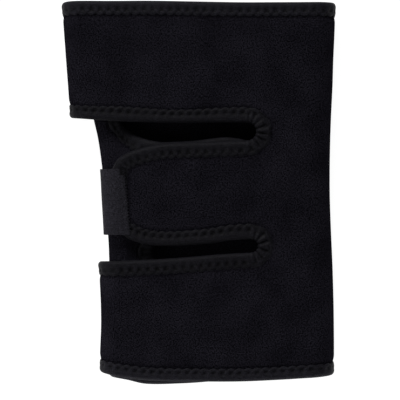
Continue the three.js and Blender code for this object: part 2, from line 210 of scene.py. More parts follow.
UNDER_TAB = Table("p top bottom", (
    (-426, 27.0, -20.0), (-423, 33.4, -27.0), (-417, 38.4, -31.6), (-403, 41.1, -34.0),
    (-393, 40.4, -35.4), (-378, 38.5, -36.6), (-361, 37.6, -37.6), (-352, 37.6, -38.0),
    (-341, 39.9, -38.0), (-332, 43.6, -38.0), (-327, 46.4, -38.0),
))


@dataclass(frozen=True)
class SlotEnd:
    """The round end of a slot in the sheet: its place, its size and the way it closes along p."""

    p: float
    y: float
    along: float
    across: float
    way: int

    @property
    def tip(self) -> float:
        """Place along p where the slot is closed."""
        return self.p + self.way * self.along

    def arc(self, count: int) -> Array:
        """Points round the end, from its lower to its upper side."""
        angle = np.linspace(-math.pi / 2, math.pi / 2, count)
        return np.column_stack((self.p + self.way * self.along * np.cos(angle),
                                self.y + self.across * np.sin(angle)))


@dataclass(frozen=True)
class Ripple:
    """A slow wave of the soft layers: two crossing sines, each by length along x, along y and phase."""

    height: float
    first: Triple
    second: Triple

    def at(self, x: Array, y: Array) -> Array:
        """Rise of the wave."""
        one, two = (np.sin(x / a + y / b + phase) for a, b, phase in (self.first, self.second))
        return self.height * one * two


@dataclass(frozen=True)
class Sag:
    """A hollow in the under tabs: its depth, its place and spread across y, its slopes along x."""

    depth: float
    y: float
    spread: float
    slopes: tuple[Pair, ...]

    def at(self, x: Array, y: Array) -> Array:
        """Depth of the hollow."""
        share = np.prod([ease(x, start, stop) for start, stop in self.slopes], axis=0)
        return self.depth * bell(y - self.y, self.spread) * share


@dataclass(frozen=True)
class WrapForm:
    """Where the folded sheet lies, in millimetres.

    The sheet is laid out along p, from the under tabs round the back to the strap ends, and across
    y. On the front p is -x.
    """

    half: float = 2.0
    over: float = 1.1
    front_height: float = 34.6
    front_dome: float = 1.2
    dome_half: float = 90.0
    ripples: tuple[Ripple, ...] = (Ripple(0.45, (31.0, 47.0, 0.6), (-90.0, 39.0, math.pi / 2)),
                                   Ripple(0.18, (15.0, -23.0, 1.9), (40.0, 19.0, 0.4)))
    layer_drop: float = 7.0
    sags: tuple[Sag, ...] = (Sag(6.0, -47.0, 11.0, ((-66.0, -42.0), (15.0, -20.0))),
                             Sag(6.0, 42.0, 20.0, ((-30.0, -56.0),)))
    back_lift: float = 7.0
    hem_rise: float = 0.5
    hem_slope: Pair = (9.0, 20.0)
    strap_end_height: float = 2.6
    strap_end_rise: float = 1.1
    strap_end_slope: Pair = (26.0, 14.0)
    right_reach: float = 17.0
    body_reach: float = 11.0
    strap_reach: float = 13.0
    ramp: Pair = (-10.0, 22.0)
    under_end: float = -426.0
    under_run: float = -331.0
    body_top: float = -311.0
    body_bottom: float = -279.0
    right_bottom: float = -133.0
    right_top: float = -81.0
    front_right: float = -60.0
    front_left: float = 52.0
    tab_end: float = 63.0
    top_strap_end: float = 177.0
    bottom_strap_end: float = 148.0
    under_zero: float = -381.0
    under_high: float = 64.0
    under_low: float = -51.0
    strap_turn: float = 46.0
    tab_band: float = 45.0
    tab_slant: Pair = (-63.0, -59.5)
    hook_range: Pair = (17.3, -31.7)
    centre: Pair = (0.11, -0.99)
    front_top_end: SlotEnd = SlotEnd(-36.2, 45.2, 7.7, 7.7, -1)
    front_bottom_end: SlotEnd = SlotEnd(-39.2, -39.8, 6.0, 6.0, -1)
    under_top_end: SlotEnd = SlotEnd(-327.0, 55.2, 8.1, 9.9, 1)
    under_bottom_end: SlotEnd = SlotEnd(-353.5, -44.5, 7.6, 7.6, 1)
    slope_step: float = 0.15
    line_step: float = 0.5
    line_least: int = 3
    hem_points: int = 2000
    arc_points: int = 40

    @property
    def shift(self) -> Array:
        """The middle of the part's box, which is taken off every point."""
        return np.array((*self.centre, 0.0))

    def front(self, x: Array, y: Array) -> Array:
        """Height of the front layer."""
        dome = self.front_dome * (1 - (x / self.dome_half) ** 2)
        return self.front_height + dome + sum(ripple.at(x, y) for ripple in self.ripples)

    def under(self, x: Array, y: Array) -> Array:
        """Height of the under tabs, which sag at the lower slot's end and under the upper strap."""
        return self.front(x, y) - self.layer_drop - sum(sag.at(x, y) for sag in self.sags)

    def back(self, x: Array, p: Array, y: Array) -> Array:
        """Height of the back: on the floor at the right, over the strap ends at the left."""
        inside = np.minimum(self.hem("top", p) - y, y - self.hem("bottom", p))
        rise = self.hem_rise * (1 - ease(inside, *self.hem_slope))
        return self.half + self.back_lift * (1 - ease(x, *self.ramp)) + rise

    def hem(self, side: str, p: Array) -> Array:
        """The sheet's own hem, inside the tape."""
        return HEMS.at(side, p) + (-self.over if side == "top" else self.over)

    def slanted(self, pair: Pair, y: Array) -> Array:
        """A value that changes evenly along the slanted end of the middle tab."""
        top, bottom = self.hook_range
        return between(pair[0], pair[1], (top - y) / (top - bottom))

    def section(self, p: Array, y: Array) -> tuple[Array, Array]:
        """Lay the sheet out.

        Args:
            p: places along the sheet.
            y: places across it.

        Returns:
            x and z of the middle of the cloth.
        """
        p, y = np.broadcast_arrays(np.asarray(p, float), np.asarray(y, float))
        right = FOLDS.at("right", y) - self.half - self.right_reach
        strap = FOLDS.at("strap", y) + self.half + self.strap_reach
        body = FOLDS.at("body", y) + self.half + self.body_reach
        past = p + strap

        def turn(x: Array, reach: float, high: Array, low: Array, share: Array) -> tuple:
            """A half-round fold from one height to another."""
            angle = math.pi * np.clip(share, 0, 1)
            return x + reach * np.sin(angle), (high + low) / 2 + (high - low) / 2 * np.cos(angle)

        def run(start: float, stop: float) -> Array:
            """Share of the way along one stretch of p."""
            return (p - start) / (stop - start)

        tab_x = between(-self.front_left, self.slanted(self.tab_slant, y),
                        run(self.front_left, self.tab_end))
        under_x = np.where(p >= self.under_run,
                           between(body, self.under_zero - self.under_run,
                                   run(self.body_top, self.under_run)), self.under_zero - p)
        back_x = between(right, body, run(self.right_bottom, self.body_bottom))
        right_x = between(-self.front_right, right, run(self.front_right, self.right_top))
        end = np.where(y > 0, self.top_strap_end, self.bottom_strap_end)
        low = self.strap_end_height
        rise = self.strap_end_rise * ease(p, *(end - before for before in self.strap_end_slope))
        left = turn(strap, -self.strap_reach, self.front(strap, y), low, past / self.strap_turn)
        fold = turn(right, self.right_reach, self.front(right, y), self.back(right, p, y),
                    run(self.right_top, self.right_bottom))
        edge = turn(body, -self.body_reach, self.back(body, p, y), self.under(body, y),
                    run(self.body_bottom, self.body_top))
        beyond = p > self.front_left
        stretches = (
            (beyond & (np.abs(y) < self.tab_band), (tab_x, self.front(tab_x, y))),
            (beyond & (past >= self.strap_turn), (strap + past - self.strap_turn, low + rise)),
            (beyond & (past >= 0), left),
            (p >= self.front_right, (-p, self.front(-p, y))),
            (p >= self.right_top, (right_x, self.front(right_x, y))),
            (p >= self.right_bottom, fold),
            (p >= self.body_bottom, (back_x, self.back(back_x, p, y))),
            (p >= self.body_top, edge),
        )
        where = [test for test, _ in stretches]
        x = np.select(where, [made[0] for _, made in stretches], under_x)
        z = np.select(where, [made[1] for _, made in stretches], self.under(under_x, y))
        return x, z

    def middle(self, p: Array, y: Array) -> Array:
        """Points of the middle of the cloth."""
        x, z = self.section(p, y)
        return np.stack((x, np.broadcast_to(y, x.shape), z), -1)

    def place(self, p: Array, y: Array, out: Array) -> Array:
        """Find points of the cloth.

        Args:
            p: places along the sheet.
            y: places across it.
            out: heights above the middle of the cloth, on its outer side.

        Returns:
            Points in the part's frame, in millimetres.
        """
        p, y, out = np.broadcast_arrays(*(np.asarray(v, float) for v in (p, y, out)))
        step = self.slope_step
        along = self.middle(p + step, y) - self.middle(p - step, y)
        across = self.middle(p, y + step) - self.middle(p, y - step)
        normal = np.cross(across, along)
        normal /= np.linalg.norm(normal, axis=-1, keepdims=True)
        return self.middle(p, y) + normal * out[..., None] - self.shift

    def slot_edge(self, end: SlotEnd, side: int, p: Array, open_edge: Array) -> Array:
        """Follow one edge of a slot: a table away from the round end, the end's arc near it.

        Args:
            end: the slot's round end.
            side: 1 for the upper edge, -1 for the lower.
            p: places along the sheet.
            open_edge: the tape's outer line there, from a table.

        Returns:
            y of the cloth's edge.
        """
        past = (p - end.p) * end.way
        f = np.clip(past / end.along, 0, 1)
        return np.where(past <= 0, open_edge + side * self.over,
                        end.y + side * end.across * np.sqrt(1 - f * f))

    def cuts(self, p: Array) -> dict[str, Array]:
        """Find the four inner edges of the sheet, in pairs that meet where it is uncut.

        Args:
            p: places along the sheet.

        Returns:
            y of each edge, by name.
        """
        p = np.asarray(p, float)
        slots = (
            (self.under_top_end, self.front_top_end,
             ("top_low", 1, self.under_high, STRAPS.at("top", p)),
             ("tab_top", -1, UNDER_TAB.at("top", p), TAB.at("top", p))),
            (self.under_bottom_end, self.front_bottom_end,
             ("tab_bottom", 1, UNDER_TAB.at("bottom", p), TAB.at("bottom", p)),
             ("bottom_high", -1, self.under_low, STRAPS.at("bottom", p))),
        )
        made = {}
        for under_end, front_end, *edges in slots:
            share = (p - under_end.tip) / (front_end.tip - under_end.tip)
            closed = between(under_end.y, front_end.y, share)
            for name, side, under, front in edges:
                opened = np.where(p >= front_end.tip, self.slot_edge(front_end, side, p, front), closed)
                made[name] = np.where(p <= under_end.tip, self.slot_edge(under_end, side, p, under),
                                      opened)
        return made

    def edge_path(self, edge: Edge, step: float) -> Array:
        """Follow one bound edge of the sheet, with the cloth on the left.

        Args:
            edge: which edge.
            step: distance between points along it.

        Returns:
            Points as rows of p and y.
        """
        def line(start: float, stop: float, name: str) -> Array:
            """Points of one inner edge between two places."""
            count = max(self.line_least, int(abs(stop - start) / self.line_step))
            p = np.linspace(start, stop, count)
            return np.column_stack((p, self.cuts(p)[name]))

        if edge.is_hem:
            top = edge is Edge.TOP_HEM
            last = self.top_strap_end if top else self.bottom_strap_end
            p = np.linspace(self.under_end, last, self.hem_points)
            path = np.column_stack((p, self.hem("top" if top else "bottom", p)))
            return resample(path[::-1] if top else path, step)
        if edge is Edge.FRONT_SLOTS:
            low, high = self.front_bottom_end, self.front_top_end
            parts = (line(self.bottom_strap_end, low.p, "bottom_high"), low.arc(self.arc_points),
                     line(low.p, self.tab_end, "tab_bottom"), line(self.tab_end, high.p, "tab_top"),
                     high.arc(self.arc_points), line(high.p, self.top_strap_end, "top_low"))
        else:
            low, high = self.under_bottom_end, self.under_top_end
            parts = (line(self.under_end, high.p, "top_low"), high.arc(self.arc_points)[::-1],
                     line(high.p, self.under_end, "tab_top"),
                     line(self.under_end, low.p, "tab_bottom"), low.arc(self.arc_points)[::-1],
                     line(low.p, self.under_end, "bottom_high"))
        return resample(np.concatenate(parts), step)


def grid_quads(number: Array) -> Array:
    """Quads between the rows and columns of a grid of point numbers."""
    corners = (number[:-1, :-1], number[:-1, 1:], number[1:, 1:], number[1:, :-1])
    return np.stack(corners, -1).reshape(-1, 4)


def two_faced(faces: list[list[int]], count: int) -> list[list[int]]:
    """Close a sheet of two faces, whose inner points follow the outer ones.

    Args:
        faces: faces of the outer side.
        count: number of points of each side.

    Returns:
        The faces of both sides and of the rim between them.
    """
    rim = {}
    for face in faces:
        for a, b in zip(face, face[1:] + face[:1]):
            if not rim.pop((b, a), False):
                rim[a, b] = True
    turned = [[n + count for n in face[::-1]] for face in faces]
    return faces + turned + [[b, a, a + count, b + count] for a, b in rim]


def put(name: str, data: bpy.types.ID) -> bpy.types.Object:
    """Make an object and put it in the scene."""
    made = bpy.data.objects.new(name, data)
    bpy.context.scene.collection.objects.link(made)
    return made


def lay_flat(mesh: bpy.types.Mesh, places: Array) -> None:
    """Give each point of a mesh its place in the flat cloth.

    Args:
        mesh: the mesh.
        places: one place for each point, in metres.
    """
    corner = np.empty(len(mesh.loops), np.int32)
    mesh.loops.foreach_get("vertex_index", corner)
    layer = mesh.uv_layers.get(FLAT) or mesh.uv_layers.new(name=FLAT)
    layer.data.foreach_set("uv", np.asarray(places, np.float32)[corner].ravel())


def make_piece(name: str, points: Array, faces: list, uv: Array, painted_shade: Array,
               finish: bpy.types.Material) -> bpy.types.Object:
    """Make a smooth mesh object with its faces outward.

    Args:
        name: the piece's name.
        points: its points in millimetres.
        faces: lists of point numbers.
        uv: a place in the flat cloth for each point, in metres.
        painted_shade: how much shade is painted on each point, 0 to 1.
        finish: its material.

    Returns:
        The object, in the scene.
    """
    points = np.asarray(points, float) * MM
    mesh = bpy.data.meshes.new(name)
    mesh.from_pydata(points.tolist(), [], [list(map(int, f)) for f in faces])
    mesh.polygons.foreach_set("use_smooth", np.ones(len(faces), bool))
    lay_flat(mesh, uv)
    held = mesh.attributes.new(PAINTED_SHADE_ATTRIBUTE, "FLOAT", "POINT")
    held.data.foreach_set("value", np.asarray(painted_shade, np.float32))
    mesh.materials.append(finish)
    mesh.update()
    mesh.calc_loop_triangles()
    corners = np.empty(len(mesh.loop_triangles) * 3, np.int32)
    mesh.loop_triangles.foreach_get("vertices", corners)
    a, b, c = np.moveaxis(points[corners.reshape(-1, 3)], 1, 0)
    if (a * np.cross(b, c)).sum() < 0:
        mesh.flip_normals()
    return put(name, mesh)


class Nodes:
    """A node tree that is built one node at a time."""

    def __init__(self, tree: bpy.types.NodeTree) -> None:
        """Start on a tree."""
        self.tree = tree

    def feed(self, node: bpy.types.Node, inputs: dict) -> bpy.types.Node:
        """Fill inputs of a node.

        Args:
            node: the node.
            inputs: a value or an output for each input, by its name or number.

        Returns:
            The same node.
        """
        for key, value in inputs.items():
            if isinstance(value, bpy.types.NodeSocket):
                self.tree.links.new(value, node.inputs[key])
            else:
                node.inputs[key].default_value = value
        return node

    def add(self, kind: str, inputs: dict | None = None, **settings: object) -> bpy.types.Node:
        """Add a node.

        Args:
            kind: Blender's name of the node.
            inputs: a value or an output for each input, by its name or number.
            settings: the node's own properties.

        Returns:
            The node.
        """
        node = self.tree.nodes.new(kind)
        for name, value in settings.items():
            setattr(node, name, value)
        return self.feed(node, inputs or {})

    def math(self, operation: str, *values: object) -> bpy.types.NodeSocket:
        """Add a sum of some values and return its result."""
        inputs = dict(enumerate(values))
        return self.add("ShaderNodeMath", inputs, operation=operation).outputs[0]

    def blend(self, share: object, first: object, second: object) -> bpy.types.NodeSocket:
        """Mix two colours and return the result."""
        inputs = {0: share, 6: first, 7: second}
        return self.add("ShaderNodeMix", inputs, data_type="RGBA").outputs[2]

    def span(self, value: object, low: float, high: float) -> bpy.types.NodeSocket:
        """Stretch a range of values to 0 to 1."""
        return self.add("ShaderNodeMapRange", {0: value, 1: low, 2: high}).outputs[0]

    def noise(self, place: object, scale: object, **inputs: float) -> bpy.types.NodeSocket:
        """Add a flat noise and return its values."""
        inputs = {"Vector": place, "Scale": scale, **inputs}
        return self.add("ShaderNodeTexNoise", inputs, noise_dimensions="2D").outputs[0]


def new_group(name: str, kind: str, inputs: dict[str, str], outputs: dict[str, str]) -> Nodes:
    """Start a node group.

    Args:
        name: the group's name.
        kind: Shader or Geometry.
        inputs: the type of each input, by its name.
        outputs: the type of each output, by its name.

    Returns:
        The group's empty tree.
    """
    tree = bpy.data.node_groups.new(name, kind + "NodeTree")
    for way, sockets in (("INPUT", inputs), ("OUTPUT", outputs)):
        for label, sort in sockets.items():
            tree.interface.new_socket(label, in_out=way, socket_type="NodeSocket" + sort)
    return Nodes(tree)


def grey(red: float, green: float, blue: float, gain: float = 1.0) -> tuple:
    """A linear colour from one given in display values of 0 to 255.

    Args:
        red: red part.
        green: green part.
        blue: blue part.
        gain: brightness factor on the linear colour.

    Returns:
        The colour with full alpha.
    """
    def straight(value: float) -> float:
        """One display value as a linear one."""
        share = value / 255
        return share / 12.92 if share <= 0.04045 else ((share + 0.055) / 1.055) ** 2.4

    return tuple(straight(v) * gain for v in (red, green, blue)) + (1.0,)


def fibre_group(speck_share: float = 0.6, row_scale: float = 0.6, grain_span: Pair = (0.38, 0.66),
                slow_span: Pair = (0.3, 0.7)) -> bpy.types.NodeTree:
    """Build the group that gives every cloth its grain.

    Args:
        speck_share: the speckle's share of the relief; the streaks have the rest.
        row_scale: fineness of the streaks against the speckle.
        grain_span: noise that becomes 0 and 1 in Grain.
        slow_span: noise that becomes 0 and 1 in Streak and Cloud.

    Returns:
        A shader group: Grain is the fine speckle, Streak runs along the cloth, Cloud is slow and
        Height is for relief.
    """
    nodes = new_group("fibre_grain", "Shader", {
        "Place": "Vector", "Fineness": "Float", "Stretch": "Float", "Cloudiness": "Float",
    }, {"Grain": "Float", "Streak": "Float", "Cloud": "Float", "Height": "Float"})
    given = nodes.add("NodeGroupInput").outputs
    apart = nodes.add("ShaderNodeSeparateXYZ", {0: given["Place"]}).outputs
    drawn = nodes.add("ShaderNodeCombineXYZ", {
        0: apart[0], 1: nodes.math("DIVIDE", apart[1], given["Stretch"]), 2: apart[2]}).outputs[0]
    speck = nodes.noise(given["Place"], given["Fineness"], Detail=4.0, Roughness=0.6)
    rows = nodes.noise(drawn, nodes.math("MULTIPLY", given["Fineness"], row_scale), Detail=1.0)
    slow = nodes.noise(given["Place"], given["Cloudiness"], Detail=3.0)
    both = nodes.math("ADD", nodes.math("MULTIPLY", speck, speck_share),
                      nodes.math("MULTIPLY", rows, 1 - speck_share))
    nodes.add("NodeGroupOutput", {
        "Grain": nodes.span(speck, *grain_span), "Streak": nodes.span(rows, *slow_span),
        "Cloud": nodes.span(slow, *slow_span), "Height": both})
    return nodes.tree


def weave_group(gap_span: Pair = (0.45, 0.1)) -> bpy.types.NodeTree:
    """Build the group that crosses two sets of threads.

    Args:
        gap_span: heights that become 0 and 1 in Gap.

    Returns:
        A shader group: Height is the threads' relief, Gap is bright between them.
    """
    nodes = new_group("thread_weave", "Shader",
                      {"Place": "Vector", "Along": "Float", "Across": "Float"},
                      {"Height": "Float", "Gap": "Float"})
    given = nodes.add("NodeGroupInput").outputs
    apart = nodes.add("ShaderNodeSeparateXYZ", {0: given["Place"]}).outputs
    turns = [nodes.math("MULTIPLY", nodes.math("MULTIPLY", apart[i], given[name]), 2 * math.pi)
             for i, name in ((0, "Along"), (1, "Across"))]
    over = nodes.math("MULTIPLY", *(nodes.math("SINE", turn) for turn in turns))
    height = nodes.math("ADD", nodes.math("MULTIPLY", over, 0.5), 0.5)
    nodes.add("NodeGroupOutput", {"Height": height, "Gap": nodes.span(height, *gap_span)})
    return nodes.tree


@dataclass(frozen=True)
class ClothFinish:
    """A dark cloth: its colours, its grain and how it takes the light."""

    name: str
    dark: tuple
    light: tuple
    fineness: float
    threads: Pair
    stretch: float = 1.6
    streak_share: float = 0.3
    cloudiness: float = 90.0
    cloud_depth: float = 0.2
    thread_depth: float = 0.35
    relief: float = 0.5
    relief_height: float = 0.0006
    roughness: float = 0.85
    specular: float = 0.03
    sheen: float = 0.02
    sheen_roughness: float = 0.45
    # How far the painted shade darkens the colour, and how dark its tint is.
    painted_shade_depth: float = 0.0
    hole_shade: float = 0.3

    def build(self, grain: bpy.types.NodeTree, weave: bpy.types.NodeTree) -> bpy.types.Material:
        """Make the material.

        Args:
            grain: the fibre group.
            weave: the thread group.

        Returns:
            The material.
        """
        made = bpy.data.materials.new(self.name)
        made.use_nodes = True
        nodes = Nodes(made.node_tree)
        place = nodes.add("ShaderNodeUVMap", uv_map=FLAT).outputs[0]
        fibres = nodes.add("ShaderNodeGroup", node_tree=grain, inputs={
            "Place": place, "Fineness": self.fineness, "Stretch": self.stretch,
            "Cloudiness": self.cloudiness}).outputs
        threads = nodes.add("ShaderNodeGroup", node_tree=weave, inputs={
            "Place": place, "Along": self.threads[0], "Across": self.threads[1]}).outputs
        share = nodes.math("ADD", nodes.math("MULTIPLY", fibres["Grain"], 1 - self.streak_share),
                           nodes.math("MULTIPLY", fibres["Streak"], self.streak_share))
        colour = nodes.blend(share, self.dark, self.light)
        # Painted shade: the point attribute blends the colour towards a near-black tint in stitch
        # dimples and beside the tape's edge.
        painted_shade = nodes.add("ShaderNodeAttribute", attribute_name=PAINTED_SHADE_ATTRIBUTE).outputs["Fac"]
        hole = tuple(self.hole_shade * v for v in self.dark[:3]) + (1.0,)
        for mask, depth, tint in ((threads["Gap"], self.thread_depth, self.dark),
                                  (fibres["Cloud"], self.cloud_depth, self.dark),
                                  (painted_shade, self.painted_shade_depth, hole)):
            colour = nodes.blend(nodes.math("MULTIPLY", mask, depth), colour, tint)
        height = nodes.math("ADD", nodes.math("MULTIPLY", threads["Height"], self.thread_depth),
                            fibres["Height"])
        bump = nodes.add("ShaderNodeBump", {"Strength": self.relief, "Distance": self.relief_height,
                                            "Height": height})
        nodes.feed(made.node_tree.nodes["Principled BSDF"], {
            "Base Color": colour, "Normal": bump.outputs[0], "Roughness": self.roughness,
            "Specular IOR Level": self.specular, "Sheen Weight": self.sheen,
            "Sheen Roughness": self.sheen_roughness})
        return made


PILE = ClothFinish("pile_cloth", grey(0.8, 0.7, 1.5), grey(43.2, 41.6, 49.7), fineness=1150,
                   threads=(450, 260), stretch=1.2, streak_share=0.2, cloudiness=40,
                   cloud_depth=0.36, thread_depth=0.12, roughness=0.97, specular=0.0, sheen=0.0,
                   painted_shade_depth=0.45)
TAPE = ClothFinish("edge_tape", grey(11, 10.7, 12.8, 0.81), grey(38, 37, 43.8, 0.81),
                   fineness=1200, threads=(1300, 700), stretch=2.0, relief=0.4, roughness=0.5,
                   specular=0.055, sheen=0.015, painted_shade_depth=0.85)
# One tape in two brightnesses: the hems' copy is painted lighter where the outer hems catch more light,
# and the slot edges keep the darker colours, where shade falls.
HEM_TAPE_PAINTED_LIGHTER = replace(TAPE, name="hem_tape", dark=grey(11, 10.7, 13, 1.2),
                   light=grey(38, 36.9, 44.6, 1.2), painted_shade_depth=0.6)
HOOK = ClothFinish("hook_tape", grey(18.5, 18, 21, 1.36), grey(44.5, 43.4, 49.8, 1.36),
                   fineness=900, threads=(700, 700), cloud_depth=0.15, thread_depth=0.5)
THREAD = ClothFinish("sewing_thread", grey(10, 9.7, 11.2), grey(26, 25.4, 29.5), fineness=1500,
                     threads=(1600, 1600), stretch=6.0, streak_share=0.6, cloudiness=120,
                     thread_depth=0.3, relief=0.3, roughness=0.7)


@dataclass(frozen=True)
class WrapPanel:
    """The padded sheet that is folded into the support."""

    column_step: float = 2.4
    arc_columns: int = 12
    rim_half: float = 1.3
    rim_width: Pair = (8.6, 13.5)
    rim_step: float = 2.0
    near_rows: tuple[float, ...] = (0, 3, 5.6, 7.2, 8.1, 8.9, 9.7, 10.5, 11.3, 12.2, 13.4)
    near_share: float = 0.42
    # Where and how wide the line of painted shade beside each tape lies.
    shade_line_gap: float = 0.75
    shade_line_width: float = 0.7
    field_rows: int = 21
    batches: int = 40

    def columns(self, form: WrapForm, last: float) -> Array:
        """Places along p where the sheet has a column of points.

        Args:
            form: the folded sheet.
            last: where the strip ends.

        Returns:
            The places in order.
        """
        stops = (form.under_end, form.under_run, form.body_top, form.body_bottom, form.right_bottom,
                 form.right_top, form.front_right, form.front_left)
        ends = (form.under_top_end, form.under_bottom_end, form.front_top_end, form.front_bottom_end)
        angles = np.linspace(0, math.pi / 2, self.arc_columns)
        arcs = [end.p + end.way * end.along * np.cos(angles) for end in ends]
        fixed = np.unique(np.round(np.concatenate([np.array(stops), *arcs]), WELD_DIGITS))
        fixed = np.r_[fixed, last] if last > fixed[-1] else fixed
        runs = [np.linspace(a, b, max(2, math.ceil((b - a) / self.column_step) + 1))[:-1]
                for a, b in zip(fixed[:-1], fixed[1:])]
        return np.concatenate([*runs, fixed[-1:]])

    def rows(self, high: Array, low: Array) -> Array:
        """Rows of points across a strip, closer near its edges.

        Args:
            high: y of its upper edge, by column.
            low: y of its lower edge.

        Returns:
            y of each point, by column and row.
        """
        near = np.array(self.near_rows)
        width = (high - low)[:, None]
        share = np.linspace(0, 1, self.field_rows + 2)[1:-1]
        scale = np.minimum(1, self.near_share * width / near[-1])
        first, last = near * scale, (width - near[::-1] * scale)
        field = between(first[:, -1:], last[:, :1], share[None])
        return high[:, None] - np.concatenate((first, field, last), axis=1)

    def build(self, form: WrapForm, rims: Array, finish: bpy.types.Material) -> bpy.types.Object:
        """Make the sheet as one closed body.

        Args:
            form: the folded sheet.
            rims: points of all its bound edges, as rows of p, y and the tape's width.
            finish: the pile cloth.

        Returns:
            The piece.
        """
        flat, quads, start = [], [], 0
        for upper, lower, last in (("hem_top", "top_low", form.top_strap_end),
                                   ("tab_top", "tab_bottom", form.tab_end),
                                   ("bottom_high", "hem_bottom", form.bottom_strap_end)):
            p = self.columns(form, last)
            edges = {**form.cuts(p), "hem_top": form.hem("top", p), "hem_bottom": form.hem("bottom", p)}
            y = self.rows(edges[upper], edges[lower])
            flat.append(np.column_stack((np.repeat(p, y.shape[1]), y.ravel())))
            quads.append(grid_quads(start + np.arange(y.size).reshape(y.shape)))
            start += y.size
        places, welded = np.unique(np.round(np.concatenate(flat), WELD_DIGITS), axis=0,
                                   return_inverse=True)
        faces = [list(dict.fromkeys(quad)) for quad in welded.ravel()[np.concatenate(quads)].tolist()]
        faces = [face for face in faces if len(face) > 2]
        away, bound = np.empty((2, len(places)))
        for part in np.array_split(np.arange(len(places)), self.batches):
            gap = ((places[part, None, :] - rims[None, :, :2]) ** 2).sum(-1)
            away[part] = np.sqrt(gap.min(1))
            bound[part] = rims[gap.argmin(1), 2]
        half = between(self.rim_half, form.half, ease(away, *self.rim_width))
        # Painted shade: a dark line painted on the cloth just beside each tape's edge, where the tape's
        # shadow falls.
        painted_shade = bell(away - bound - self.shade_line_gap, self.shade_line_width)
        sides = [form.place(places[:, 0], places[:, 1], out) for out in (half, -half)]
        return make_piece("wrap_cloth", np.concatenate(sides), two_faced(faces, len(places)),
                          np.tile(places, (2, 1)) * MM, np.tile(painted_shade, 2), finish)


